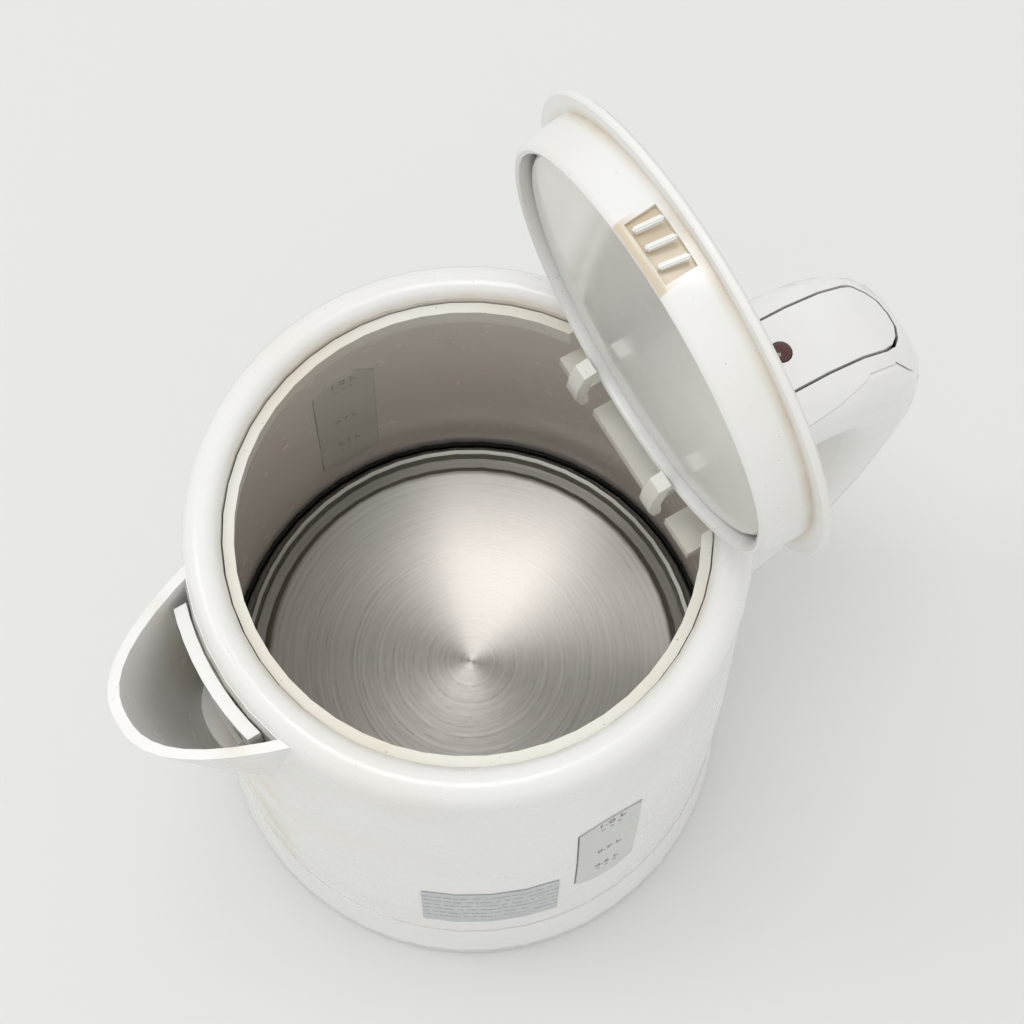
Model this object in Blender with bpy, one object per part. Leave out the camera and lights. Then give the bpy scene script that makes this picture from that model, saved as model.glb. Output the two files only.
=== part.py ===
"""Cordless electric kettle, about 0.9 litre, with a hinged lid standing open.

Metres, +Z up, +X towards the handle, -X towards the spout. Every length below is in millimetres
and is scaled by MM. The jug's axis is the line x = AXIS_X, so that the origin is the centre of
the kettle's footprint, on the surface it stands on. All other x values count from the jug's axis.
"""

from math import cos, pi, radians, sin

import bmesh
import bpy
from mathutils import Matrix, Vector

MM = 0.001
GAP = 0.3  # clearance between neighbouring pieces
SEGMENTS = 48  # facets round a large turned piece
SMALL_SEGMENTS = 16  # facets round a pin, screw or foot
WELD = 0.01  # joins the last facet of a full turn to the first

# Jug
AXIS_X = -18.9
WALL = 2.4
SEAM_Z = 29.5
RIM_CREST_Z = 180.0
OUTER = ((69.8, SEAM_Z + GAP), (69.2, 52.0), (67.7, 98.0), (64.9, 150.0), (63.9, 168.0))
RIM = ((63.9, 174.0), (63.0, 177.4), (61.2, 179.5), (58.8, RIM_CREST_Z), (56.4, 179.4), (54.8, 177.6))
THROAT_R = 54.8
CEILING_Z = 168.0
SHELF_TOP_Z = 49.5
SHELF_Z = 46.8
SHELF_R = 57.5

# Collar ring that the lid rests on, and the hinge plate behind it
COLLAR_R = 52.0
COLLAR_OUTER_R = 54.5
COLLAR_TOP_Z = 175.8
COLLAR_BASE_Z = 169.0
PLATE_CHORD_X = 41.5
HINGE_PLATE_Z = (161.2, 164.4)
HINGE_PLATE_HALF_Y = 28.0
NOTCH_X = (47.0, 56.4)
NOTCH_HALF_Y = 28.2
HOOK_SLOT_Y = (13.0, 18.2)
HOOK_SLOT_END_X = 57.4
LUG_Y = (24.2, 27.2)
LUG_X = (48.9, 54.9)

# Lid
HINGE_X = 51.9
HINGE_Z = 174.8
OPEN_ANGLE = radians(86.2)
PIN_R = 1.5
PIN_BORE_R = 1.8
KNUCKLE_R = 3.2
KNUCKLE_Y = (18.6, 23.6)
FLANGE_R = 53.6
FLANGE_Z = (176.2, 178.2)
FLANGE_CHORD_X = 48.8
DOME_RISE = 5.0
SKIRT_TOP_R = 49.2
SKIRT_EDGE_R = 47.4
SKIRT_EDGE_Z = 165.7
SKIRT_WALL = 2.0
INNER_PLATE_R = 44.4
INNER_PLATE_Z = (168.2, 169.8)
HOOK_Y = (13.6, 17.6)
VENT_HALF_ANGLE = radians(8.5)
VENT_Z = (167.6, 174.4)

# Spout and its filter
SPOUT_TOP_Z = 177.0
SPOUT_FOOT_Z = 116.0
SPOUT_TIP_X = 87.6
SPOUT_ROOT_X = 55.0
SPOUT_HALF_Y = 25.0
SPOUT_POWER = 2.45
SPOUT_FULLNESS = 0.55
SPOUT_FOOT_WIDTH = 0.72
SPOUT_LEVELS = 8
SPOUT_STEPS = 18
BOWL_FLOOR_Z = 132.0
MOUTH_TOP_Z = 166.5
MOUTH_X = (-66.4, -58.0)
MOUTH_ROOM = 0.4
FILTER_R = (64.4, 67.4)
FILTER_HALF_Y = (10.5, 17.0)
FILTER_Z = (134.0, 152.0, 174.0)
FILTER_BORDER = 3.0
FILTER_BAR = 5.0
MESH_R = (65.7, 66.2)

# Level windows and rating label
WINDOW_HALF_Y = 8.6
WINDOW_Z = (65.5, 130.5)
LABEL_AZIMUTH = (radians(-131.25), radians(-101.25))
LABEL_Z = (46.5, 85.0)
LABEL_THICKNESS = 0.2
LABEL_LIFT = 0.12

# Heating plate and what hangs below it
PLATE_TOP_Z = 58.2
PLATE_SHEET = 0.9
GASKET_R = (60.4, 66.3)
DIFFUSER_R = 47.0
DIFFUSER_Z = (53.4, 56.9)
ELEMENT_R = 37.0
ELEMENT_TUBE_R = 3.2
CLAMP_R = (53.5, 66.0)
CLAMP_Z = (44.6, 46.4)
CONTROL_SIZE = (62.0, 44.0, 12.0)
CONTROL_Z = 33.8
SOCKET_R = 20.0
SOCKET_Z = (9.0, 33.4)

# Bottom cover, feet and screws
BASE_R = 72.5
BASE_BOTTOM_Z = 0.9
BASE_FLOOR_Z = 3.4
SOCKET_WELL_R = 23.0
FIXING_AZIMUTH = radians(17.0)
FOOT_CIRCLE_R = 58.0
FOOT_R = 6.0
FOOT_TOP_Z = 2.1
SCREW_CIRCLE_R = 46.0
SCREW_R = 2.0

# Handle: stations along its centre line (x, z, half thickness, half width)
HANDLE = (
    (56.0, 158.0, 16.4, 18.4),
    (80.0, 158.4, 16.4, 18.6),
    (95.0, 155.6, 16.6, 18.5),
    (105.6, 147.0, 16.0, 18.2),
    (111.2, 132.0, 14.4, 17.6),
    (111.6, 115.0, 12.8, 17.2),
    (108.6, 95.0, 12.0, 17.0),
    (103.0, 75.0, 12.0, 16.6),
    (94.0, 57.0, 12.0, 16.0),
    (80.0, 44.5, 12.5, 16.0),
    (56.0, 38.0, 13.0, 16.4),
)
HANDLE_POWER = 2.6
HANDLE_SECTION = 20
HANDLE_RUNS = 2
HANDLE_WALL = 2.4
COVER_SEAM = ((50.0, 167.4), (101.0, 167.4), (110.0, 162.0), (116.0, 153.0), (122.0, 146.0), (140.0, 140.0))
PADDLE_X = (77.6, 117.4)
PADDLE_HALF_Y = 9.9
PADDLE_GAP = 0.7
PADDLE_PIVOT = (92.0, 164.0)
PADDLE_PIN_R = 1.3
LAMP_X = 83.6
LAMP_R = 2.5
TRIP_PIVOT = (90.0, 150.0)


def material(name, colour, roughness, metallic=0.0):
    made = bpy.data.materials.new(name)
    made.use_nodes = True
    shader = made.node_tree.nodes["Principled BSDF"]
    shader.inputs["Base Color"].default_value = (*colour, 1.0)
    shader.inputs["Roughness"].default_value = roughness
    shader.inputs["Metallic"].default_value = metallic
    return made


def clear_scene():
    for old in list(bpy.data.objects):
        bpy.data.objects.remove(old)


def empty_at(name, x, z, parent=None):
    made = bpy.data.objects.new(name, None)
    made.location = Vector((x, 0.0, z)) * MM
    made.parent = parent
    bpy.context.scene.collection.objects.link(made)
    return made


def finish(name, bm, frame, look=None):
    """An object from a bmesh in millimetres, counted from the jug's axis and held by frame."""
    bmesh.ops.recalc_face_normals(bm, faces=bm.faces)
    mesh = bpy.data.meshes.new(name)
    bm.to_mesh(mesh)
    bm.free()
    pivot = frame.get("pivot", (0.0, 0.0, 0.0))
    mesh.transform(Matrix.Scale(MM, 4) @ Matrix.Translation(-Vector(pivot)))
    made = bpy.data.objects.new(name, mesh)
    made.parent = frame
    bpy.context.scene.collection.objects.link(made)
    if look is None:
        made.hide_render = True
        made.display_type = "WIRE"
    else:
        mesh.materials.append(look)
        mesh.shade_smooth()
        mesh.set_sharp_from_angle(angle=radians(35.0))
    return made


def boolean(target, cutter, operation="DIFFERENCE"):
    modifier = target.modifiers.new(cutter.name, "BOOLEAN")
    modifier.object = cutter
    modifier.operation = operation
    modifier.solver = "EXACT"


def turned(profile, steps=SEGMENTS, start=pi / SEGMENTS, sweep=2 * pi, centre=(0.0, 0.0)):
    """A solid turned about a vertical axis from (radius, z) points, or a part turn with flat ends."""
    bm = bmesh.new()
    points = [bm.verts.new((r * cos(start), r * sin(start), z)) for r, z in profile]
    edges = [bm.edges.new(pair) for pair in zip(points, points[1:])]
    if profile[0][0] > 0:
        edges.append(bm.edges.new((points[-1], points[0])))
    spun = bmesh.ops.spin(
        bm, geom=points + edges, cent=(0, 0, 0), axis=(0, 0, 1), dvec=(0, 0, 0), angle=sweep, steps=steps
    )
    if abs(sweep - 2 * pi) < 1e-6:
        bmesh.ops.remove_doubles(bm, verts=bm.verts, dist=WELD)
    else:
        last = [item for item in spun["geom_last"] if isinstance(item, bmesh.types.BMEdge)]
        bmesh.ops.edgeloop_fill(bm, edges=last)
        bmesh.ops.edgeloop_fill(bm, edges=edges)
    bmesh.ops.translate(bm, verts=bm.verts, vec=(*centre, 0.0))
    return bm


def box(low, high):
    bm = bmesh.new()
    size = [b - a for a, b in zip(low, high)]
    middle = [(a + b) / 2 for a, b in zip(low, high)]
    bmesh.ops.create_cube(bm, size=1.0)
    bmesh.ops.scale(bm, vec=size, verts=bm.verts)
    bmesh.ops.translate(bm, vec=middle, verts=bm.verts)
    return bm


def rod(radius, low_y, high_y, x, z, segments=SMALL_SEGMENTS):
    """A cylinder along Y."""
    bm = bmesh.new()
    bmesh.ops.create_cone(
        bm, cap_ends=True, segments=segments, radius1=radius, radius2=radius, depth=high_y - low_y
    )
    bmesh.ops.rotate(bm, verts=bm.verts, cent=(0, 0, 0), matrix=Matrix.Rotation(pi / 2, 3, "X"))
    bmesh.ops.translate(bm, verts=bm.verts, vec=(x, (low_y + high_y) / 2, z))
    return bm


def pulled(outline, low, high, axis):
    """A flat outline pulled from low to high along axis; its points are the other two coordinates."""
    along = "XYZ".index(axis)
    bm = bmesh.new()
    corners = [[*point[:along], low, *point[along:]] for point in outline]
    face = bm.faces.new([bm.verts.new(corner) for corner in corners])
    made = bmesh.ops.extrude_face_region(bm, geom=[face])["geom"]
    moved = [item for item in made if isinstance(item, bmesh.types.BMVert)]
    shift = Vector((0.0, 0.0, 0.0))
    shift[along] = high - low
    bmesh.ops.translate(bm, verts=moved, vec=shift)
    return bm


def loft(rings):
    """A closed solid through rings of points that match one to one."""
    bm = bmesh.new()
    loops = [[bm.verts.new(point) for point in ring] for ring in rings]
    for lower, upper in zip(loops, loops[1:]):
        for i, corner in enumerate(lower):
            after = (i + 1) % len(lower)
            bm.faces.new((corner, lower[after], upper[after], upper[i]))
    bm.faces.new(loops[0])
    bm.faces.new(loops[-1])
    return bm


def between(table, z):
    """The radius at height z, read along a table of (radius, z) points."""
    for (r0, z0), (r1, z1) in zip(table, table[1:]):
        if z <= z1:
            return r0 + (r1 - r0) * (z - z0) / (z1 - z0)
    return table[-1][0]


def outer_radius(z):
    return between(OUTER, z)


def lathed(name, profile, frame, look=None, **turning):
    return finish(name, turned(profile, **turning), frame, look)


# Jug


def spout_ring(z, inset, floor_z):
    """The spout's plan outline at height z, closed behind its root."""
    share = (z - floor_z) / (SPOUT_TOP_Z - floor_z)
    share = max(0.0, min(1.0, share)) ** SPOUT_FULLNESS
    tip = outer_radius(z) - WALL + (SPOUT_TIP_X - inset - outer_radius(z) + WALL) * share
    half = (SPOUT_HALF_Y - inset) * (SPOUT_FOOT_WIDTH + (1 - SPOUT_FOOT_WIDTH) * share)
    steps = [2 * i / SPOUT_STEPS - 1 for i in range(SPOUT_STEPS + 1)]
    reach = tip - SPOUT_ROOT_X
    return [(-SPOUT_ROOT_X - reach * (1 - abs(u) ** SPOUT_POWER), half * u, z) for u in steps]


def spout_solid(frame):
    levels = [SPOUT_FOOT_Z + (SPOUT_TOP_Z - SPOUT_FOOT_Z) * i / SPOUT_LEVELS for i in range(SPOUT_LEVELS + 1)]
    solid = finish("spout_form", loft([spout_ring(z, 0.0, SPOUT_FOOT_Z) for z in levels]), frame)
    top = SPOUT_TOP_Z + 1.0
    levels = [BOWL_FLOOR_Z + (top - BOWL_FLOOR_Z) * i / SPOUT_LEVELS for i in range(SPOUT_LEVELS + 1)]
    bowl = finish("spout_bowl", loft([spout_ring(z, WALL, BOWL_FLOOR_Z - 8.0) for z in levels]), frame)
    rim_r = OUTER[-1][0] - WALL / 4
    back = lathed("spout_back", ((0, 100.0), (rim_r, 100.0), (rim_r, 200.0), (0, 200.0)), frame)
    boolean(bowl, back)
    boolean(solid, bowl)
    core = [(r - WALL / 2, z) for r, z in OUTER] + [(OUTER[-1][0] - WALL / 2, 200.0), (0, 200.0)]
    boolean(solid, lathed("spout_core", [(0, OUTER[0][1]), *core], frame))
    return solid


def window_outline(grow):
    low, high = WINDOW_Z[0] - grow, WINDOW_Z[1] + grow
    half = WINDOW_HALF_Y + grow
    return ((-half, low + 4.0), (-half, high - 4.0), (-half + 5.0, high), (half - 5.0, high),
            (half, high - 4.0), (half, low + 4.0), (half - 5.0, low), (-half + 5.0, low))


def jug_shell(frame, look):
    inner = [(r - WALL, z) for r, z in OUTER[1:-1]]
    profile = [*OUTER, *RIM, (THROAT_R, CEILING_Z + 2.0), (60.4, CEILING_Z - 2.0), (61.9, 163.0)]
    profile += inner[::-1]
    profile += [(SHELF_R + 9.2, SHELF_TOP_Z), (SHELF_R, SHELF_TOP_Z), (SHELF_R, SHELF_Z)]
    profile += [(OUTER[0][0] - WALL, SHELF_Z - 1.0), (OUTER[0][0] - WALL, OUTER[0][1])]
    shell = lathed("jug_shell", profile, frame, look)
    boolean(shell, spout_solid(frame), "UNION")
    mouth = pulled(filter_outline(MOUTH_ROOM, MOUTH_TOP_Z), *MOUTH_X, "X")
    boolean(shell, finish("pouring_mouth", mouth, frame))
    for side in (-1, 1):
        ends = sorted((side * 56.0, side * 76.0))
        window = finish(f"window_hole_{side}", pulled(window_outline(GAP), *ends, "Y"), frame)
        boolean(shell, window)
    notch = box((NOTCH_X[0], -NOTCH_HALF_Y, CEILING_Z - 4.0), (NOTCH_X[1], NOTCH_HALF_Y, 190.0))
    boolean(shell, finish("hinge_notch", notch, frame))
    wires = finish("wire_hole", rod(4.0, -8.0, 8.0, 0, 0), frame)
    wires.matrix_local = Matrix.Translation(Vector((70.0, 0.0, 37.0)) * MM) @ Matrix.Rotation(pi / 2, 4, "Z")
    boolean(shell, wires)
    return shell


def collar_ring(frame, look):
    profile = (
        (COLLAR_R, COLLAR_TOP_Z),
        (COLLAR_OUTER_R, COLLAR_TOP_Z),
        (COLLAR_OUTER_R, COLLAR_BASE_Z),
        (COLLAR_R + 0.6, COLLAR_BASE_Z),
    )
    ring = lathed("collar_ring", profile, frame, look)
    cut = box((NOTCH_X[0] - 14.0, -NOTCH_HALF_Y, 160.0), (NOTCH_X[1], NOTCH_HALF_Y, 190.0))
    boolean(ring, finish("collar_notch", cut, frame))


def hinge_plate(frame, look):
    """A segment behind a straight edge, slotted for the lid's hooks, with two lugs for the pin."""
    low, high = HINGE_PLATE_Z
    reach = 60.5
    plate = lathed("hinge_plate", ((0, low), (reach, low), (reach, high), (0, high)), frame, look)
    keep = box((PLATE_CHORD_X, -HINGE_PLATE_HALF_Y, low - 5.0), (70.0, HINGE_PLATE_HALF_Y, high + 5.0))
    boolean(plate, finish("plate_segment", keep, frame), "INTERSECT")
    for side in (-1, 1):
        ys = sorted((side * LUG_Y[0], side * LUG_Y[1]))
        outline = ((LUG_X[0], high - 2.0), (LUG_X[1], high - 2.0), (LUG_X[1], 176.4), (53.6, 178.0),
                   (50.2, 178.0), (LUG_X[0], 176.4))
        boolean(plate, finish(f"pin_lug_{side}", pulled(outline, *ys, "Y"), frame), "UNION")
        ys = sorted((side * HOOK_SLOT_Y[0], side * HOOK_SLOT_Y[1]))
        slot = box((PLATE_CHORD_X - 5.0, ys[0], low - 5.0), (HOOK_SLOT_END_X, ys[1], high + 5.0))
        boolean(plate, finish(f"hook_slot_{side}", slot, frame))
    boolean(plate, finish("lug_bore", rod(PIN_BORE_R, -40.0, 40.0, HINGE_X, HINGE_Z), frame))


def level_windows(frame, look):
    for side, name in ((-1, "level_window_right"), (1, "level_window_left")):
        turn = side * pi / 2
        spread = radians(9.5)
        heights = (60.0, 98.0, 136.0)
        profile = [(outer_radius(z) + 0.25, z) for z in heights]
        profile += [(outer_radius(z) - WALL - 0.6, z) for z in heights[::-1]]
        pane = lathed(name, profile, frame, look, steps=6, start=turn - spread, sweep=2 * spread)
        ends = sorted((side * 50.0, side * 80.0))
        form = finish(f"window_form_{side}", pulled(window_outline(0.0), *ends, "Y"), frame)
        boolean(pane, form, "INTERSECT")


def rating_label(frame, look):
    heights = LABEL_Z
    face = [(outer_radius(z) + LABEL_LIFT, z) for z in heights]
    back = [(r + LABEL_THICKNESS, z) for r, z in face]
    start, end = LABEL_AZIMUTH
    lathed("rating_label", [*face, *back[::-1]], frame, look, steps=4, start=start, sweep=end - start)


def filter_outline(grow, top):
    """The filter's outline seen along X, grown all round and cut off level at the top."""
    foot, half = [y + grow for y in FILTER_HALF_Y]
    low, shoulder, _ = FILTER_Z
    corners = ((foot, low - grow), (half, shoulder), (half, top))
    return (*corners, *[(-y, z) for y, z in corners[::-1]])


def spout_filter(frame, look, screen_look):
    turning = {"steps": 8, "start": pi - radians(16.0), "sweep": radians(32.0)}
    low, _, high = FILTER_Z
    below, above = low - 5.0, high + 5.0
    ring = list(zip((*FILTER_R, *FILTER_R[::-1]), (below, below, above, above)))
    frame_piece = lathed("spout_filter_frame", ring, frame, look, **turning)
    outline = pulled(filter_outline(0.0, high), -75.0, -55.0, "X")
    boolean(frame_piece, finish("filter_form", outline, frame), "INTERSECT")
    inside = pulled(filter_outline(-FILTER_BORDER, high - FILTER_BAR), -75.0, -55.0, "X")
    boolean(frame_piece, finish("filter_opening", inside, frame))
    ring = list(zip((*MESH_R, *MESH_R[::-1]), (low, low, high, high)))
    screen = lathed("filter_screen", ring, frame, screen_look, **turning)
    inside = pulled(filter_outline(-FILTER_BORDER - GAP, high - FILTER_BAR - GAP), -75.0, -55.0, "X")
    boolean(screen, finish("screen_form", inside, frame), "INTERSECT")


# Heater and base


def heater(frame, looks):
    top = PLATE_TOP_Z
    upper = [(0, top), (54.6, top), (55.6, top + 0.7), (56.6, top), (57.6, top - 2.0), (60.2, top - 2.0),
             (61.0, top), (62.0, top + 0.4), (62.9, top - 0.6), (63.3, 52.4), (65.2, 52.1)]
    lower = [(65.2, 51.3), (62.4, 51.3), (62.0, top - 0.9), (61.6, top - 0.9), (60.8, top - 3.0),
             (57.0, top - 3.0), (55.8, top - PLATE_SHEET), (0, top - PLATE_SHEET)]
    lathed("heating_plate", [*upper, *lower], frame, looks["steel"])
    inner, outer = GASKET_R
    seal = ((inner, 49.8), (outer, 49.8), (outer, 53.6), (outer - 0.7, 53.6), (outer - 0.7, 51.0),
            (inner, 51.0))
    lathed("plate_gasket", seal, frame, looks["rubber"])
    inner, outer = CLAMP_R
    ring = ((inner, CLAMP_Z[0]), (outer, CLAMP_Z[0]), (outer, CLAMP_Z[1] - 0.9), (outer - 6.0, CLAMP_Z[1]),
            (inner, CLAMP_Z[1]))
    lathed("plate_clamp_ring", ring, frame, looks["steel"])
    low, high = DIFFUSER_Z
    disc = ((0, low), (DIFFUSER_R, low), (DIFFUSER_R, high), (0, high))
    lathed("heat_diffuser", disc, frame, looks["aluminium"])
    level = DIFFUSER_Z[0] - GAP - ELEMENT_TUBE_R
    sides = 8
    turns = [2 * pi * i / sides for i in range(sides)]
    ring = [(ELEMENT_R + ELEMENT_TUBE_R * cos(turn), level + ELEMENT_TUBE_R * sin(turn)) for turn in turns]
    turning = {"steps": 30, "start": radians(25.0), "sweep": radians(310.0)}
    lathed("heating_element", ring, frame, looks["aluminium"], **turning)


def control(frame, looks):
    length, width, height = CONTROL_SIZE
    low = (-length / 2, -width / 2, CONTROL_Z)
    high = (length / 2, width / 2, CONTROL_Z + height)
    body = finish("thermostat_control", box(low, high), frame, looks["black"])
    bevel = body.modifiers.new("rounding", "BEVEL")
    bevel.width = 2.0 * MM
    bevel.segments = 2
    low, high = SOCKET_Z
    groove = high - 7.0
    profile = ((0, low + 4.0), (3.0, low + 4.0), (3.0, groove), (7.0, groove), (7.0, low + 1.0),
               (9.0, low + 1.0), (9.0, groove), (14.0, groove), (14.0, low + 1.0),
               (SOCKET_R - 2.0, low), (SOCKET_R, low + 1.5),
               (SOCKET_R, high), (0, high))
    lathed("connector_socket", profile, frame, looks["black"], steps=32)


def bottom_cover(frame, look):
    top = SEAM_Z
    low = BASE_BOTTOM_Z
    well = SOCKET_WELL_R
    outside = [(70.2, top), (71.0, 20.0), (72.1, 8.0), (BASE_R, 4.0), (BASE_R - 1.4, low + 0.6)]
    underside = [(BASE_R - 3.2, low), (well, low), (well, 8.6), (well + 2.0, 8.6), (well + 2.0, BASE_FLOOR_Z)]
    inside = [(68.4, BASE_FLOOR_Z), (69.6, 6.0), (68.6, 20.0), (67.0, top - 2.0)]
    lip = [(65.6, top - 2.0), (65.6, top + 3.0), (67.0, top + 3.0), (67.0, top)]
    profile = outside + underside + inside + lip
    cover = lathed("bottom_cover", profile, frame, look)
    for i in range(3):
        angle = FIXING_AZIMUTH + 2 * pi * i / 3 + pi / 3
        place = (FOOT_CIRCLE_R * cos(angle), FOOT_CIRCLE_R * sin(angle))
        recess = ((0, -2.0), (FOOT_R + GAP, -2.0), (FOOT_R + GAP, FOOT_TOP_Z + GAP), (0, FOOT_TOP_Z + GAP))
        boolean(cover, lathed(f"foot_recess_{i}", recess, frame, steps=SMALL_SEGMENTS, centre=place))
        angle = FIXING_AZIMUTH + 2 * pi * i / 3
        place = (SCREW_CIRCLE_R * cos(angle), SCREW_CIRCLE_R * sin(angle))
        hole = ((0, -2.0), (SCREW_R + GAP, -2.0), (SCREW_R + GAP, 10.0), (0, 10.0))
        boolean(cover, lathed(f"screw_hole_{i}", hole, frame, steps=SMALL_SEGMENTS, centre=place))


def feet_and_screws(frame, looks):
    for i in range(3):
        angle = FIXING_AZIMUTH + 2 * pi * i / 3 + pi / 3
        place = (FOOT_CIRCLE_R * cos(angle), FOOT_CIRCLE_R * sin(angle))
        profile = ((0, 0.0), (FOOT_R - 0.6, 0.0), (FOOT_R, 0.6), (FOOT_R, FOOT_TOP_Z), (0, FOOT_TOP_Z))
        lathed(f"foot_{i + 1}", profile, frame, looks["rubber"], steps=SMALL_SEGMENTS, centre=place)
        angle = FIXING_AZIMUTH + 2 * pi * i / 3
        place = (SCREW_CIRCLE_R * cos(angle), SCREW_CIRCLE_R * sin(angle))
        head = BASE_BOTTOM_Z - 0.4
        slot = head + 0.6
        profile = ((0, slot), (1.0, slot), (1.0, head), (SCREW_R, head), (SCREW_R, 40.0), (0, 42.0))
        lathed(f"base_screw_{i + 1}", profile, frame, looks["steel"], steps=12, centre=place)


# Handle


def smooth_stations(rows, runs):
    """Catmull-Rom points between the rows, runs of them to each span."""
    ends = [rows[0], *rows, rows[-1]]
    made = []
    for a, b, c, d in zip(ends, ends[1:], ends[2:], ends[3:]):
        for k in range(runs):
            t = k / runs
            weights = (-t + 2 * t**2 - t**3, 2 - 5 * t**2 + 3 * t**3, t + 4 * t**2 - 3 * t**3, t**3 - t**2)
            made.append([sum(w * value for w, value in zip(weights, four)) / 2 for four in zip(a, b, c, d)])
    made.append(list(rows[-1]))
    return made


def power(value, exponent):
    return abs(value) ** exponent * (1 if value >= 0 else -1)


def handle_form(inset, runs=HANDLE_RUNS):
    """The handle's solid, shrunk by inset all round; its two ends run on into the jug."""
    rows = smooth_stations(HANDLE, runs)
    rows[0][0] -= inset
    rows[-1][0] -= inset
    rings = []
    for i, (x, z, thick, wide) in enumerate(rows):
        ahead = rows[min(i + 1, len(rows) - 1)]
        behind = rows[max(i - 1, 0)]
        run = Vector((ahead[0] - behind[0], 0.0, ahead[1] - behind[1])).normalized()
        out = Vector((-run.z, 0.0, run.x))
        ring = []
        for k in range(HANDLE_SECTION):
            turn = 2 * pi * (k + 0.5) / HANDLE_SECTION
            across = power(cos(turn), 2 / HANDLE_POWER) * (wide - inset)
            along = power(sin(turn), 2 / HANDLE_POWER) * (thick - inset)
            ring.append(Vector((x, 0.0, z)) + Vector((0.0, 1.0, 0.0)) * across + out * along)
        rings.append(ring)
    return loft(rings)


def paddle_outline(shrink):
    near, far = PADDLE_X[0] + shrink, PADDLE_X[1] - shrink
    half = PADDLE_HALF_Y - shrink
    corner = 2.5
    arc = 8.5
    outline = [(near + corner, half), (near, half - corner), (near, corner - half), (near + corner, -half)]
    steps = 8
    turns = [pi * k / steps for k in range(steps + 1)]
    outline += [(far - arc + arc * sin(turn), -half * cos(turn)) for turn in turns]
    return outline


def handle_parts(frame, paddle_frame, looks):
    cavity = finish("handle_cavity", handle_form(HANDLE_WALL), frame)
    jug = [(r + GAP, z) for r, z in OUTER[1:]] + [(OUTER[-1][0] + GAP, 190.0), (0, 190.0)]
    foot = [(0, 20.0), (OUTER[0][0] + 2.6, 20.0), (OUTER[0][0] + 1.0, SEAM_Z + 1.0)]
    jug_room = lathed("jug_room", [*foot, *jug], frame)
    over = finish("seam_above", pulled([*COVER_SEAM, (140.0, 200.0), (50.0, 200.0)], -40.0, 40.0, "Y"), frame)
    lowered = [(x - GAP * 0.7, z - GAP * 1.2) for x, z in COVER_SEAM]
    room = finish("seam_room", pulled([*lowered, (140.0, 200.0), (50.0, 200.0)], -40.0, 40.0, "Y"), frame)

    grip = finish("handle_grip", handle_form(0.0), frame, looks["white"])
    hole = finish("paddle_hole", pulled(paddle_outline(0.0), 145.0, 190.0, "Z"), frame)
    for cutter in (cavity, jug_room, room, hole):
        boolean(grip, cutter)
    cover = finish("handle_top_cover", handle_form(0.0), frame, looks["white"])
    for cutter in (cavity, jug_room):
        boolean(cover, cutter)
    boolean(cover, over, "INTERSECT")
    boolean(cover, hole)

    paddle = finish("switch_paddle", handle_form(0.0), paddle_frame, looks["white"])
    boolean(paddle, finish("paddle_cavity", handle_form(HANDLE_WALL), paddle_frame))
    form = finish("paddle_form", pulled(paddle_outline(PADDLE_GAP), 150.0, 190.0, "Z"), paddle_frame)
    boolean(paddle, form, "INTERSECT")
    x, z = PADDLE_PIVOT
    outline = ((x - 4.0, z - 3.5), (x + 4.0, z - 3.5), (x + 5.0, 171.6), (x - 5.0, 172.6))
    boss = finish("pivot_boss", pulled(outline, -5.0, 5.0, "Y"), paddle_frame)
    boolean(paddle, boss, "UNION")
    boolean(paddle, finish("pivot_bore", rod(PADDLE_PIN_R + GAP, -20.0, 20.0, x, z), paddle_frame))
    lens_hole = ((0, 160.0), (LAMP_R + GAP, 160.0), (LAMP_R + GAP, 190.0), (0, 190.0))
    boolean(paddle, lathed("lens_hole", lens_hole, paddle_frame, steps=SMALL_SEGMENTS, centre=(LAMP_X, 0)))
    lens = ((0, 171.6), (LAMP_R, 171.6), (LAMP_R, 174.4), (LAMP_R - 0.6, 174.9), (0, 175.1))
    lathed("lamp_lens", lens, paddle_frame, looks["lens"], steps=SMALL_SEGMENTS, centre=(LAMP_X, 0))
    finish("paddle_pin", rod(PADDLE_PIN_R, -13.0, 13.0, x, z, 12), frame, looks["steel"])


def switch_works(frame, trip_frame, looks):
    body = finish("steam_switch", box((67.6, -9.0, 146.0), (79.0, 9.0, 160.0)), frame, looks["black"])
    bevel = body.modifiers.new("rounding", "BEVEL")
    bevel.width = 1.0 * MM
    bevel.segments = 1
    lamp = ((0, 162.2), (1.9, 162.2), (1.9, 167.6), (1.0, 169.0), (0, 169.4))
    lathed("neon_lamp", lamp, frame, looks["glass"], steps=12, centre=(LAMP_X, 0))
    x, z = TRIP_PIVOT
    post = ((x - 3.0, z - 3.0), (x + 3.0, z - 3.0), (x + 3.0, z + 6.5), (x + 0.8, z + 9.6), (x - 1.6, z + 9.6))
    outline = (*post, (x - 3.0, z + 3.0), (x - 10.0, z + 1.5), (x - 10.0, z - 1.5))
    lever = finish("trip_lever", pulled(outline, -3.0, 3.0, "Y"), trip_frame, looks["black"])
    boolean(lever, finish("trip_bore", rod(1.6, -20.0, 20.0, x, z), trip_frame))
    finish("trip_pin", rod(1.3, -13.0, 13.0, x, z, 12), frame, looks["steel"])


# Lid


def ear(side, frame):
    """A knuckle round the hinge pin, joined to the lid's skirt."""
    ys = sorted((side * KNUCKLE_Y[0], side * KNUCKLE_Y[1]))
    count = 10
    arc = [(HINGE_X + KNUCKLE_R * sin(pi * k / count), HINGE_Z - KNUCKLE_R * cos(pi * k / count))
           for k in range(count + 1)]
    top = HINGE_Z + KNUCKLE_R
    outline = [(43.2, HINGE_Z - KNUCKLE_R), *arc, (43.2, top)]
    return finish(f"lid_ear_{side}", pulled(outline, *ys, "Y"), frame)


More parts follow.
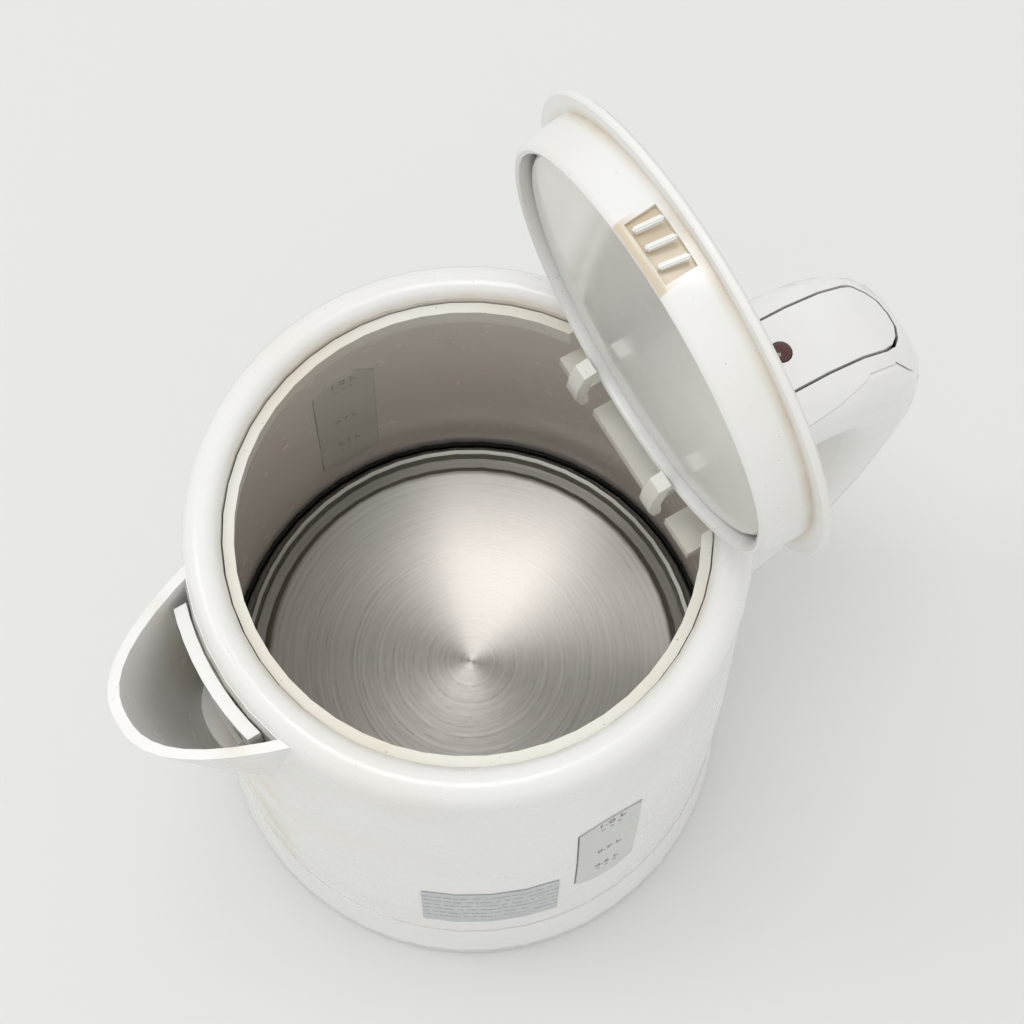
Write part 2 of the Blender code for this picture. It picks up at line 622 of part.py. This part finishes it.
def lid(frame, looks):
    low, high = FLANGE_Z
    dome = [(FLANGE_R * (1 - k / 5), high + DOME_RISE * (1 - (1 - k / 5) ** 2)) for k in range(1, 5)]
    under = [(44.0, high), (0, high + DOME_RISE - 2.6)]
    edge_r, edge_z = SKIRT_EDGE_R, SKIRT_EDGE_Z
    flange = [(FLANGE_R - 0.8, high), (FLANGE_R, high - 0.7), (FLANGE_R, low + 0.4), (FLANGE_R - 0.4, low)]
    skirt = [(SKIRT_TOP_R, low), (edge_r + 0.5, edge_z + 1.6), (edge_r - 0.1, edge_z + 0.4),
             (edge_r - 0.9, edge_z), (edge_r - 1.8, edge_z + 0.4), (edge_r - SKIRT_WALL, edge_z + 1.4),
             (SKIRT_TOP_R - SKIRT_WALL - 0.6, low)]
    profile = [(0, high + DOME_RISE), *dome[::-1], *flange, *skirt, *under]
    cap = lathed("lid_cap", profile, frame, looks["white"])
    chord = box((FLANGE_CHORD_X, -30.0, 150.0), (70.0, 30.0, 200.0))
    boolean(cap, finish("flange_chord", chord, frame))
    for side in (-1, 1):
        boolean(cap, ear(side, frame), "UNION")
    boolean(cap, finish("knuckle_bore", rod(PIN_BORE_R, -40.0, 40.0, HINGE_X, HINGE_Z), frame))
    vent_low, vent_high = VENT_Z
    ring = ((46.9, vent_low), (60.0, vent_low), (60.0, vent_high), (47.6, vent_high))
    turning = {"steps": 6, "start": pi - VENT_HALF_ANGLE, "sweep": 2 * VENT_HALF_ANGLE}
    boolean(cap, lathed("vent_recess", ring, frame, **turning))
    low, high = INNER_PLATE_Z
    disc = ((0, low), (INNER_PLATE_R - 0.6, low), (INNER_PLATE_R, low + 0.6), (INNER_PLATE_R, high), (0, high))
    lathed("lid_inner_plate", disc, frame, looks["ivory"])
    for side, name in ((-1, "lid_hook_right"), (1, "lid_hook_left")):
        ys = sorted((side * HOOK_Y[0], side * HOOK_Y[1]))
        outline = ((40.2, 165.2), (46.0, 163.9), (50.4, 162.6), (54.4, 162.9), (56.6, 162.6),
                   (55.6, 160.8), (50.4, 159.4), (45.2, 160.2), (40.6, 162.0))
        finish(name, pulled(outline, *ys, "Y"), frame, looks["ivory"])


def hinge_pin(frame, look):
    finish("lid_hinge_pin", rod(PIN_R, LUG_Y[1] * -1, LUG_Y[1], HINGE_X, HINGE_Z, 12), frame, look)


def wires(frame, look):
    """The bundle from the switch in the handle down to the thermostat control."""
    route = ((80.8, 6.0, 149.0), (90.0, 6.0, 145.9), (99.0, 5.0, 141.5), (107.0, 3.0, 129.0),
             (109.0, 0.0, 112.0), (105.5, 0.0, 92.0), (99.5, 0.0, 73.0), (90.5, 0.0, 57.5),
             (78.5, 0.0, 44.5), (68.0, 0.0, 37.2), (52.0, 0.0, 37.0))
    curve = bpy.data.curves.new("handle_wires", "CURVE")
    curve.dimensions = "3D"
    curve.bevel_depth = 1.6 * MM
    curve.bevel_resolution = 2
    curve.use_fill_caps = True
    spline = curve.splines.new("POLY")
    points = smooth_stations(route, 2)
    spline.points.add(len(points) - 1)
    for point, (x, y, z) in zip(spline.points, points):
        point.co = (x * MM, y * MM, z * MM, 1.0)
    curve.materials.append(look)
    made = bpy.data.objects.new("handle_wires", curve)
    made.parent = frame
    bpy.context.scene.collection.objects.link(made)


def main():
    clear_scene()
    looks = {
        "white": material("white_plastic", (0.86, 0.86, 0.84), 0.25),
        "ivory": material("ivory_plastic", (0.80, 0.78, 0.72), 0.35),
        "window": material("window_plastic", (0.62, 0.64, 0.60), 0.3),
        "label": material("label_foil", (0.63, 0.67, 0.67), 0.35, 0.2),
        "steel": material("brushed_steel", (0.60, 0.58, 0.55), 0.3, 1.0),
        "aluminium": material("cast_aluminium", (0.68, 0.69, 0.70), 0.45, 1.0),
        "rubber": material("black_rubber", (0.02, 0.02, 0.02), 0.7),
        "black": material("black_plastic", (0.03, 0.03, 0.03), 0.45),
        "screen": material("filter_screen", (0.75, 0.73, 0.68), 0.5),
        "lens": material("red_lens", (0.18, 0.03, 0.03), 0.15),
        "glass": material("lamp_glass", (0.9, 0.7, 0.6), 0.1),
        "wire": material("wire_sleeve", (0.75, 0.74, 0.70), 0.6),
    }
    jug = empty_at("jug_axis", AXIS_X, 0.0)
    lid_axis = empty_at("lid_axis", HINGE_X, HINGE_Z, jug)
    lid_axis["pivot"] = (HINGE_X, 0.0, HINGE_Z)
    lid_axis.rotation_euler.y = OPEN_ANGLE
    paddle_axis = empty_at("paddle_axis", *PADDLE_PIVOT, jug)
    paddle_axis["pivot"] = (PADDLE_PIVOT[0], 0.0, PADDLE_PIVOT[1])
    trip_axis = empty_at("trip_axis", *TRIP_PIVOT, jug)
    trip_axis["pivot"] = (TRIP_PIVOT[0], 0.0, TRIP_PIVOT[1])

    jug_shell(jug, looks["white"])
    collar_ring(jug, looks["ivory"])
    hinge_plate(jug, looks["ivory"])
    level_windows(jug, looks["window"])
    rating_label(jug, looks["label"])
    spout_filter(jug, looks["white"], looks["screen"])
    heater(jug, looks)
    control(jug, looks)
    bottom_cover(jug, looks["white"])
    feet_and_screws(jug, looks)
    handle_parts(jug, paddle_axis, looks)
    switch_works(jug, trip_axis, looks)
    lid(lid_axis, looks)
    hinge_pin(jug, looks["steel"])
    wires(jug, looks["wire"])


main()
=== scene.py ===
from math import cos, pi, radians, sin

import bmesh
import bpy
from mathutils import Matrix, Vector
from mathutils.bvhtree import BVHTree


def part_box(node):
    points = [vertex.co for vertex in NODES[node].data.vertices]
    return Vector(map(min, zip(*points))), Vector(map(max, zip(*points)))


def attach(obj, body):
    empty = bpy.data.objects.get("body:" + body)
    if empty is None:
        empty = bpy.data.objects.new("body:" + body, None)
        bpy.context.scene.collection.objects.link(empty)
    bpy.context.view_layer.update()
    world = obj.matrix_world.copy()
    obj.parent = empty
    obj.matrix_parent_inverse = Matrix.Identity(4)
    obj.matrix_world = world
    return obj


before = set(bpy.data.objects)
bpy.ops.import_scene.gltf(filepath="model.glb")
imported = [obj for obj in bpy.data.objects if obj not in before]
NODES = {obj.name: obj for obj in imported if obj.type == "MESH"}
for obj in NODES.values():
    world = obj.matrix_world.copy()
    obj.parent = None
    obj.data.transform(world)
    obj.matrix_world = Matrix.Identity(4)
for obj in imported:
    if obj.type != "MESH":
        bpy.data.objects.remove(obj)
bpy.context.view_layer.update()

JUG_X = (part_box("heat_diffuser")[0][0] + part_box("heat_diffuser")[1][0]) / 2
HINGE_HOME = Vector((0.0519, 0.0, 0.1748))  # the lid's hinge, counted from the jug's axis
LID_AXIS = HINGE_HOME + Vector((JUG_X, 0.0, 0.0))
LID_OPEN = radians(86.2)
LABEL_FOOT_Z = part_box("rating_label")[0][2]
LABEL_ROW = 0.0052
WELD_DISTANCE = 0.00001
SHARP_ANGLE = radians(38.0)
FILTER_FACE = 0.0675  # how far the filter's outer face is from the jug's axis


# Materials


class Graph:
    """A material's nodes, made one after the other."""

    def __init__(self, name):
        self.material = bpy.data.materials.new(name)
        self.material.use_nodes = True
        self.tree = self.material.node_tree
        self.shader = self.tree.nodes["Principled BSDF"]

    def add(self, kind, inputs=None, **settings):
        node = self.tree.nodes.new("ShaderNode" + kind)
        for key, value in settings.items():
            setattr(node, key, value)
        for key, value in (inputs or {}).items():
            self.feed(node, key, value)
        return node

    def feed(self, node, key, value):
        if isinstance(value, bpy.types.NodeSocket):
            self.tree.links.new(value, node.inputs[key])
        else:
            node.inputs[key].default_value = value

    def math(self, operation, a, b=None, clamp=False):
        node = self.add("Math", {0: a}, operation=operation, use_clamp=clamp)
        if b is not None:
            self.feed(node, 1, b)
        return node.outputs[0]

    def ramp(self, value, stops):
        node = self.add("ValToRGB", {0: value})
        elements = node.color_ramp.elements
        while len(elements) < len(stops):
            elements.new(0.5)
        for element, (place, colour) in zip(elements, stops):
            element.position = place
            element.color = (*colour, 1.0) if len(colour) == 3 else colour
        return node.outputs[0]

    def scale(self, value, low, high, to_low=0.0, to_high=1.0):
        node = self.add("MapRange", {0: value, 1: low, 2: high, 3: to_low, 4: to_high})
        return node.outputs[0]

    def mix(self, share, a, b, blend="MIX"):
        node = self.add("Mix", data_type="RGBA", blend_type=blend)
        self.feed(node, 0, share)
        for key, value in ((6, a), (7, b)):
            self.feed(node, key, value if isinstance(value, bpy.types.NodeSocket) else (*value, 1.0))
        return node.outputs[2]

    def place(self, origin=(0.0, 0.0, 0.0)):
        """Coordinates of the shaded point in the model's own frame, counted from origin."""
        coordinates = self.add("TexCoord").outputs["Object"]
        shifted = self.add("VectorMath", {0: coordinates, 1: origin}, operation="SUBTRACT")
        return shifted.outputs[0]

    def noise(self, vector, scale, detail=3.0, roughness=0.55):
        node = self.add("TexNoise", {"Vector": vector, "Scale": scale, "Detail": detail})
        node.inputs["Roughness"].default_value = roughness
        return node.outputs["Fac"]

    def bump(self, height, strength, distance=0.0005):
        node = self.add("Bump", {"Height": height, "Strength": strength, "Distance": distance})
        self.tree.links.new(node.outputs[0], self.shader.inputs["Normal"])

    def set(self, **values):
        for key, value in values.items():
            self.feed(self.shader, key.replace("_", " "), value)


def plastic(name, colour, roughness, tint, speckle=0.0, subsurface=0.0):
    """Moulded plastic: faint yellowing in clouds, fine scratches in its gloss and a slight orange peel."""
    g = Graph(name)
    where = g.place()
    clouds = g.scale(g.noise(where, 22.0), 0.40, 0.72)
    base = g.mix(g.math("MULTIPLY", clouds, 0.55), colour, tint)
    if speckle:
        dots = g.scale(g.noise(where, 900.0, 1.0), 0.74, 0.80)
        base = g.mix(g.math("MULTIPLY", dots, speckle), base, (0.30, 0.22, 0.13))
    g.set(Base_Color=base, IOR=1.5)
    fine = g.noise(where, 160.0, 4.0)
    g.set(Roughness=g.scale(fine, 0.3, 0.7, roughness - 0.05, roughness + 0.07))
    g.bump(g.noise(where, 420.0, 2.0), 0.015)
    if subsurface:
        g.shader.inputs["Subsurface Weight"].default_value = subsurface
        g.shader.inputs["Subsurface Radius"].default_value = (0.004, 0.0035, 0.003)
    return g


WHITE = (0.83, 0.83, 0.815)
WARM = (0.78, 0.765, 0.715)
STAIN = (0.42, 0.29, 0.13)


def radius_of(g, where):
    parts = g.add("SeparateXYZ", {0: where})
    flat = g.add("CombineXYZ", {0: parts.outputs[0], 1: parts.outputs[1]})
    return g.add("VectorMath", {0: flat.outputs[0]}, operation="LENGTH").outputs["Value"], parts


def jug_material():
    """White outside; warmer inside, and lighter there as painted light against the interior's shade; brown
    tide marks where the ledge meets it, and brownish painted shade where the bowl narrows to the filter.
    """
    g = plastic("jug_plastic", WHITE, 0.22, WARM, speckle=0.25)
    where = g.place((JUG_X, 0.0, 0.0))
    radius, parts = radius_of(g, where)
    height = parts.outputs[2]
    base = g.shader.inputs["Base Color"].links[0].from_socket
    wander = g.scale(g.noise(where, 60.0, 4.0), 0.3, 0.7)
    low_wall = g.scale(height, 0.052, 0.098, 0.0680, 0.0665)
    high_wall = g.scale(height, 0.098, 0.168, 0.0, -0.0038)
    past_wall = g.math("SUBTRACT", radius, g.math("ADD", low_wall, high_wall))
    # Painted light: below the rim the inside is painted warmer and lighter than the outside white. The warmth
    # is its own plastic's; the extra lightness stands in for light that the shaded interior lacks.
    inside = g.math("MULTIPLY", g.scale(past_wall, 0.0004, -0.0004), g.scale(height, 0.170, 0.163))
    base = g.mix(inside, base, (0.92, 0.87, 0.81))
    groove = g.math("MULTIPLY", g.scale(radius, 0.0562, 0.0550), g.scale(height, 0.1700, 0.1712))
    base = g.mix(g.math("MULTIPLY", groove, g.scale(wander, 0.0, 1.0, 0.10, 0.40)), base, STAIN)
    # Painted shade: a brownish darkening on the bowl where it narrows to the filter, strongest at the filter's
    # face and fading towards the sides.
    from_filter = g.math("ABSOLUTE", g.math("ADD", parts.outputs[0], FILTER_FACE))
    filter_shade = g.math("SUBTRACT", 1.0, g.scale(from_filter, 0.0, 0.006))
    filter_shade = g.math("MULTIPLY", filter_shade, g.scale(parts.outputs[0], -0.060, -0.064))
    filter_shade = g.math("MULTIPLY", filter_shade, g.scale(g.math("ABSOLUTE", parts.outputs[1]), 0.0225, 0.0175))
    base = g.mix(g.math("MULTIPLY", filter_shade, g.scale(wander, 0.2, 1.0, 0.0, 0.55)), base, (0.58, 0.42, 0.22))
    g.set(Base_Color=base)
    return g.material


def steel_material():
    """Brushed in circles, with stretched highlights along the radii and darker pressed rings."""
    g = Graph("plate_steel")
    where = g.place((JUG_X, 0.0, 0.0))
    radius, parts = radius_of(g, where)
    rings = g.add("CombineXYZ", {0: radius})
    coarse = g.noise(rings.outputs[0], 900.0, 3.0, 0.6)
    fine = g.noise(rings.outputs[0], 4200.0, 2.0, 0.6)
    angle = g.math("ARCTAN2", parts.outputs[1], parts.outputs[0])
    bent = g.add("CombineXYZ", {0: angle, 1: g.math("MULTIPLY", radius, 400.0)})
    scratches = g.noise(bent.outputs[0], 3.0, 4.0, 0.7)
    tone = g.math("ADD", g.math("MULTIPLY", coarse, 0.6), g.math("MULTIPLY", scratches, 0.4))
    stops = [(0.3, (0.27, 0.255, 0.235)), (0.55, (0.40, 0.38, 0.355)), (0.75, (0.52, 0.505, 0.485))]
    g.set(Base_Color=g.ramp(tone, stops), Metallic=1.0)
    g.set(Roughness=g.scale(tone, 0.3, 0.7, 0.24, 0.36))
    g.shader.inputs["Anisotropic"].default_value = 0.85
    outward = g.add("CombineXYZ", {0: parts.outputs[0], 1: parts.outputs[1]})
    unit = g.add("VectorMath", {0: outward.outputs[0]}, operation="NORMALIZE")
    g.tree.links.new(unit.outputs[0], g.shader.inputs["Tangent"])
    height = g.math("ADD", g.math("MULTIPLY", coarse, 0.7), g.math("MULTIPLY", fine, 0.3))
    g.bump(height, 0.10, 0.0003)
    return g.material


def simple_graph(name, colour, roughness, metallic=0.0, texture=120.0, strength=0.1):
    g = Graph(name)
    where = g.place()
    cloud = g.noise(where, texture, 3.0)
    dark = tuple(part * 0.8 for part in colour)
    g.set(Base_Color=g.mix(g.scale(cloud, 0.35, 0.65), dark, colour), Metallic=metallic)
    g.set(Roughness=g.scale(cloud, 0.3, 0.7, roughness - 0.05, roughness + 0.08))
    g.bump(g.noise(where, texture * 6, 2.0), strength, 0.0003)
    return g


def simple(*settings):
    return simple_graph(*settings).material


def lens_material():
    g = Graph("lens_red")
    where = g.place()
    cloud = g.noise(where, 700.0, 2.0)
    g.set(Base_Color=g.mix(g.scale(cloud, 0.3, 0.7), (0.045, 0.006, 0.006), (0.08, 0.014, 0.012)))
    g.set(Roughness=g.scale(cloud, 0.3, 0.7, 0.08, 0.16))
    g.bump(cloud, 0.05)
    g.shader.inputs["Coat Weight"].default_value = 0.5
    return g.material


def lid_material():
    """White, with a brown tide line in the corner between the flange and the skirt."""
    g = plastic("lid_plastic", WHITE, 0.20, WARM, speckle=0.3)
    base = g.shader.inputs["Base Color"].links[0].from_socket
    where = g.place(LID_AXIS)
    turned = g.add("VectorRotate", {"Vector": where, "Angle": -LID_OPEN}, rotation_type="Y_AXIS")
    closed = g.add("VectorMath", {0: turned.outputs[0], 1: (HINGE_HOME.x, 0.0, 0.0)}, operation="ADD")
    radius, parts = radius_of(g, closed.outputs[0])
    corner = g.math("MULTIPLY", g.scale(radius, 0.0512, 0.0490), g.scale(parts.outputs[2], -0.0008, 0.0012))
    corner = g.math("MULTIPLY", corner, g.scale(parts.outputs[2], 0.0030, 0.0018))
    wander = g.scale(g.noise(where, 50.0, 4.0), 0.3, 0.7, 0.15, 0.6)
    base = g.mix(g.math("MULTIPLY", corner, wander), base, (0.55, 0.41, 0.22))
    # Painted shade: a dark brownish patch where the vent slot opens through the skirt, standing in for the
    # shade inside the slot.
    vent = g.math("MULTIPLY", g.scale(radius, 0.0484, 0.0476), g.scale(parts.outputs[0], -0.0440, -0.0446))
    vent = g.math("MULTIPLY", vent, g.scale(g.math("ABSOLUTE", parts.outputs[1]), 0.0085, 0.0080))
    vent = g.math("MULTIPLY", vent, g.scale(radius, 0.0464, 0.0468))
    base = g.mix(g.math("MULTIPLY", vent, 0.7), base, (0.60, 0.47, 0.28))
    g.set(Base_Color=base)
    return g.material


def label_material():
    """Silver-grey foil with broken ruled lines where a rating would be printed; no lettering."""
    g = simple_graph("label_foil", (0.56, 0.60, 0.60), 0.35, 0.15, 300.0, 0.05)
    parts = g.add("SeparateXYZ", {0: g.place((JUG_X, 0.0, LABEL_FOOT_Z))})
    row = g.math("FRACT", g.math("DIVIDE", parts.outputs[2], LABEL_ROW))
    lines = g.math("MULTIPLY", g.scale(row, 0.42, 0.46), g.scale(row, 0.66, 0.62))
    lines = g.math("MULTIPLY", lines, g.scale(parts.outputs[2], 0.0030, 0.0032))
    lines = g.math("MULTIPLY", lines, g.scale(parts.outputs[2], 0.0350, 0.0348))
    along = g.math("MULTIPLY", g.math("ARCTAN2", parts.outputs[1], parts.outputs[0]), 45.0)
    row_number = g.math("FLOOR", g.math("DIVIDE", parts.outputs[2], LABEL_ROW))
    breaks = g.add("CombineXYZ", {0: along, 1: row_number})
    lines = g.math("MULTIPLY", lines, g.scale(g.noise(breaks.outputs[0], 1.3, 1.0), 0.44, 0.47))
    base = g.shader.inputs["Base Color"].links[0].from_socket
    g.set(Base_Color=g.mix(g.math("MULTIPLY", lines, 0.75), base, (0.10, 0.11, 0.12)))
    return g.material


def paint(names, material):
    for name in names:
        for slot in NODES[name].material_slots:
            slot.material = material


def smoothing_group():
    """Smooth shading across a turned wall's facets, with its real edges kept, as a modifier's nodes."""
    group = bpy.data.node_groups.new("smooth_by_angle", "GeometryNodeTree")
    group.interface.new_socket("Geometry", in_out="INPUT", socket_type="NodeSocketGeometry")
    group.interface.new_socket("Geometry", in_out="OUTPUT", socket_type="NodeSocketGeometry")
    source = group.nodes.new("NodeGroupInput")
    bare = group.nodes.new("GeometryNodeRemoveAttribute")
    bare.inputs["Name"].default_value = "custom_normal"
    merge = group.nodes.new("GeometryNodeMergeByDistance")
    merge.inputs["Distance"].default_value = WELD_DISTANCE
    faces = group.nodes.new("GeometryNodeSetShadeSmooth")
    faces.domain = "FACE"
    faces.inputs["Shade Smooth"].default_value = True
    angle = group.nodes.new("GeometryNodeInputMeshEdgeAngle")
    steep = group.nodes.new("FunctionNodeCompare")
    steep.operation = "GREATER_THAN"
    steep.inputs[1].default_value = SHARP_ANGLE
    edges = group.nodes.new("GeometryNodeSetShadeSmooth")
    edges.domain = "EDGE"
    edges.inputs["Shade Smooth"].default_value = False
    group.links.new(angle.outputs["Unsigned Angle"], steep.inputs[0])
    group.links.new(steep.outputs[0], edges.inputs["Selection"])
    chain = [source, bare, merge, faces, edges, group.nodes.new("NodeGroupOutput")]
    for before, after in zip(chain, chain[1:]):
        group.links.new(before.outputs[0], after.inputs[0])
    return group


smoothing = smoothing_group()
for node in NODES.values():
    node.modifiers.new("smoothing", "NODES").node_group = smoothing

white = plastic("white_plastic", WHITE, 0.20, WARM).material
ivory = plastic("ivory_plastic", (0.80, 0.785, 0.73), 0.32, (0.70, 0.63, 0.48), speckle=0.6).material
lid_white = lid_material()
dark_plastic = simple("black_plastic", (0.03, 0.03, 0.03), 0.45)
metal = simple("zinc_steel", (0.55, 0.54, 0.52), 0.35, 1.0)
cast = simple("cast_aluminium", (0.62, 0.63, 0.64), 0.5, 1.0, 200.0, 0.3)
rubber = simple("black_rubber", (0.018, 0.016, 0.014), 0.55, 0.0, 200.0, 0.2)

paint(("jug_shell",), jug_material())
paint(("collar_ring", "hinge_plate", "lid_hook_left", "lid_hook_right"), ivory)
inner_plate = plastic("inner_plate_plastic", (0.76, 0.75, 0.72), 0.12, (0.70, 0.68, 0.62)).material
paint(("lid_inner_plate",), inner_plate)
paint(("bottom_cover", "handle_grip", "handle_top_cover", "switch_paddle", "spout_filter_frame"), white)
paint(("lid_cap",), lid_white)
# Both level windows are one plastic; the left pane is painted lighter than the right, as painted light shining
# through the pane.
window_painted_light = plastic("window_plastic_painted_light", (0.80, 0.79, 0.72), 0.2, (0.76, 0.73, 0.62)).material
grey_window = plastic("window_plastic", (0.55, 0.565, 0.53), 0.2, (0.60, 0.60, 0.55), subsurface=0.15).material
paint(("level_window_left",), window_painted_light)
paint(("level_window_right",), grey_window)
paint(("rating_label",), label_material())
paint(("heating_plate",), steel_material())
paint(("plate_gasket", "foot_1", "foot_2", "foot_3"), rubber)
paint(("plate_clamp_ring", "base_screw_1", "base_screw_2", "base_screw_3"), metal)
paint(("lid_hinge_pin", "paddle_pin", "trip_pin"), metal)
paint(("heat_diffuser", "heating_element"), cast)
paint(("thermostat_control", "connector_socket", "steam_switch", "trip_lever"), dark_plastic)
paint(("lamp_lens",), lens_material())
paint(("neon_lamp",), simple("lamp_glass", (0.75, 0.55, 0.45), 0.1))
paint(("handle_wires",), simple("wire_sleeve", (0.72, 0.71, 0.66), 0.7, 0.0, 500.0, 0.4))
paint(("filter_screen",), simple("screen_mesh", (0.62, 0.58, 0.50), 0.6, 0.0, 900.0, 0.5))


# Pieces added to the frame


def piece(name, bm, material, body):
    bmesh.ops.recalc_face_normals(bm, faces=bm.faces)
    mesh = bpy.data.meshes.new(name)
    bm.to_mesh(mesh)
    bm.free()
    made = bpy.data.objects.new(name, mesh)
    bpy.context.scene.collection.objects.link(made)
    mesh.materials.append(material)
    mesh.shade_smooth()
    mesh.set_sharp_from_angle(angle=radians(40.0))
    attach(made, body)
    return made


WINDOW_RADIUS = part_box("level_window_left")[1][1]


def surface_of(name):
    bm = bmesh.new()
    bm.from_mesh(NODES[name].data)
    return BVHTree.FromBMesh(bm)


def wall_radius(surface, angle, height, outside):
    """How far the pane's outer or inner face is from the jug's axis, in one direction."""
    outward = Vector((cos(angle), sin(angle), 0.0))
    axis = Vector((JUG_X, 0.0, height))
    if outside:
        place = surface.ray_cast(axis + outward * 2 * WINDOW_RADIUS, -outward)[0]
    else:
        place = surface.ray_cast(axis, outward)[0]
    return (place - axis).length


def mark(name, text, size, z, side, outside, surface, material):
    """A figure printed on a level window, wrapped round the jug's wall."""
    curve = bpy.data.curves.new(name, "FONT")
    curve.body = text
    curve.size = size
    curve.align_x = "CENTER"
    curve.align_y = "CENTER"
    curve.extrude = 0.00006
    curve.resolution_u = 3
    flat = bpy.data.objects.new(name + "_flat", curve)
    bpy.context.scene.collection.objects.link(flat)
    bpy.context.view_layer.update()
    graph = bpy.context.evaluated_depsgraph_get()
    mesh = bpy.data.meshes.new_from_object(flat.evaluated_get(graph))
    bpy.data.objects.remove(flat)
    for corner in mesh.vertices:
        across, up, off = corner.co
        turn = across / WINDOW_RADIUS
        angle = side * pi / 2 + (turn if outside else -turn)
        radius = wall_radius(surface, angle, z + up, outside) + (off if outside else -off)
        corner.co = (JUG_X + radius * cos(angle), radius * sin(angle), z + up)
    mesh.name = name
    mesh.materials.clear()
    mesh.materials.append(material)
    made = bpy.data.objects.new(name, mesh)
    bpy.context.scene.collection.objects.link(made)
    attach(made, "kettle")


def level_marks():
    outside_ink = simple("gauge_ink", (0.20, 0.21, 0.21), 0.5, 0.0, 900.0, 0.05)
    inside_ink = simple("gauge_ink_inside", (0.42, 0.40, 0.36), 0.4, 0.0, 900.0, 0.05)
    rows = ((0.1275, "1.0 L", 0.0042), (0.1232, "- - -", 0.0040), (0.1000, "0.7 L", 0.0036),
            (0.0822, "0.5 L", 0.0036), (0.0780, "- - -", 0.0040))
    for side, word in ((-1, "right"), (1, "left")):
        surface = surface_of(f"level_window_{word}")
        for outside, ink, place in ((True, outside_ink, "out"), (False, inside_ink, "in")):
            for i, (z, text, size) in enumerate(rows):
                mark(f"gauge_{word}_{place}_{i}", text, size, z, side, outside, surface, ink)


def lid_place(points):
    """Points given with the lid closed, counted from the jug's axis, moved to the open lid."""
    turn = Matrix.Rotation(LID_OPEN, 4, "Y")
    return [LID_AXIS + turn @ (Vector(point) - HINGE_HOME) for point in points]


LOUVRE_PITCH = 0.088  # radians from one tooth to the next
LOUVRE_Z = (0.1680, 0.1738)
SKIRT_SLOPE = 0.25


def vent_louvres():
    """Three slanted teeth across the vent in the lid's skirt; the dark slot behind them is painted shade in
    the lid's material.
    """
    bm = bmesh.new()
    foot, top = LOUVRE_Z
    for k in (-1, 0, 1):
        middle = pi + LOUVRE_PITCH * k
        corners = []
        for depth in (0.0476, 0.0494):
            for lean, z in ((-0.020, foot), (0.004, foot), (0.030, top), (0.006, top)):
                angle = middle + lean
                radius = depth + (z - foot) * SKIRT_SLOPE
                corners.append((radius * cos(angle), radius * sin(angle), z))
        corners = [bm.verts.new(corner) for corner in lid_place(corners)]
        for ring in ((0, 1, 2, 3), (7, 6, 5, 4), (0, 4, 5, 1), (1, 5, 6, 2), (2, 6, 7, 3), (3, 7, 4, 0)):
            bm.faces.new([corners[i] for i in ring])
    bmesh.ops.bevel(bm, geom=bm.edges[:], offset=0.0003, segments=2, affect="EDGES")
    piece("lid_vent_louvres", bm, lid_white, "lid")


level_marks()
vent_louvres()


# Stage, light and camera


def stage():
    bm = bmesh.new()
    bmesh.ops.create_grid(bm, x_segments=2, y_segments=2, size=6.0)
    mesh = bpy.data.meshes.new("floor")
    bm.to_mesh(mesh)
    bm.free()
    floor = bpy.data.objects.new("floor", mesh)
    bpy.context.scene.collection.objects.link(floor)
    g = Graph("floor_paper")
    g.set(Base_Color=(0.76, 0.765, 0.75, 1.0), Roughness=0.8)
    mesh.materials.append(g.material)


def area(name, place, target, size, power, colour=(1.0, 1.0, 1.0)):
    data = bpy.data.lights.new(name, "AREA")
    data.shape = "RECTANGLE"
    data.size, data.size_y = size
    data.energy = power
    data.color = colour
    lamp = bpy.data.objects.new(name, data)
    lamp.location = place
    aim = Vector(target) - Vector(place)
    lamp.rotation_euler = aim.to_track_quat("-Z", "Y").to_euler()
    bpy.context.scene.collection.objects.link(lamp)


def light():
    bpy.context.scene.view_settings.view_transform = "Standard"
    world = bpy.data.worlds.new("studio")
    bpy.context.scene.world = world
    world.use_nodes = True
    world.node_tree.nodes["Background"].inputs[0].default_value = (1.0, 0.995, 0.985, 1.0)
    world.node_tree.nodes["Background"].inputs[1].default_value = 0.82
    area("overhead", (-0.15, 0.12, 2.2), (0.0, 0.0, 0.1), (0.8, 0.8), 9.0)
    area("key", (-1.2, 1.0, 1.9), (0.0, 0.0, 0.1), (0.8, 0.8), 5.0)


CAMERA_FROM_JUG = Vector((-0.0722, -0.1288, 0.6191))
CAMERA_TURN = (18.808, -0.706, -30.960)  # degrees
CAMERA_LENS = 73.83  # millimetres


def camera():
    data = bpy.data.cameras.new("camera")
    data.sensor_width = 36.0
    data.lens = CAMERA_LENS
    made = bpy.data.objects.new("camera", data)
    made.location = Vector((JUG_X, 0.0, 0.0)) + CAMERA_FROM_JUG
    made.rotation_euler = [radians(part) for part in CAMERA_TURN]
    bpy.context.scene.collection.objects.link(made)
    bpy.context.scene.camera = made


stage()
light()
camera()
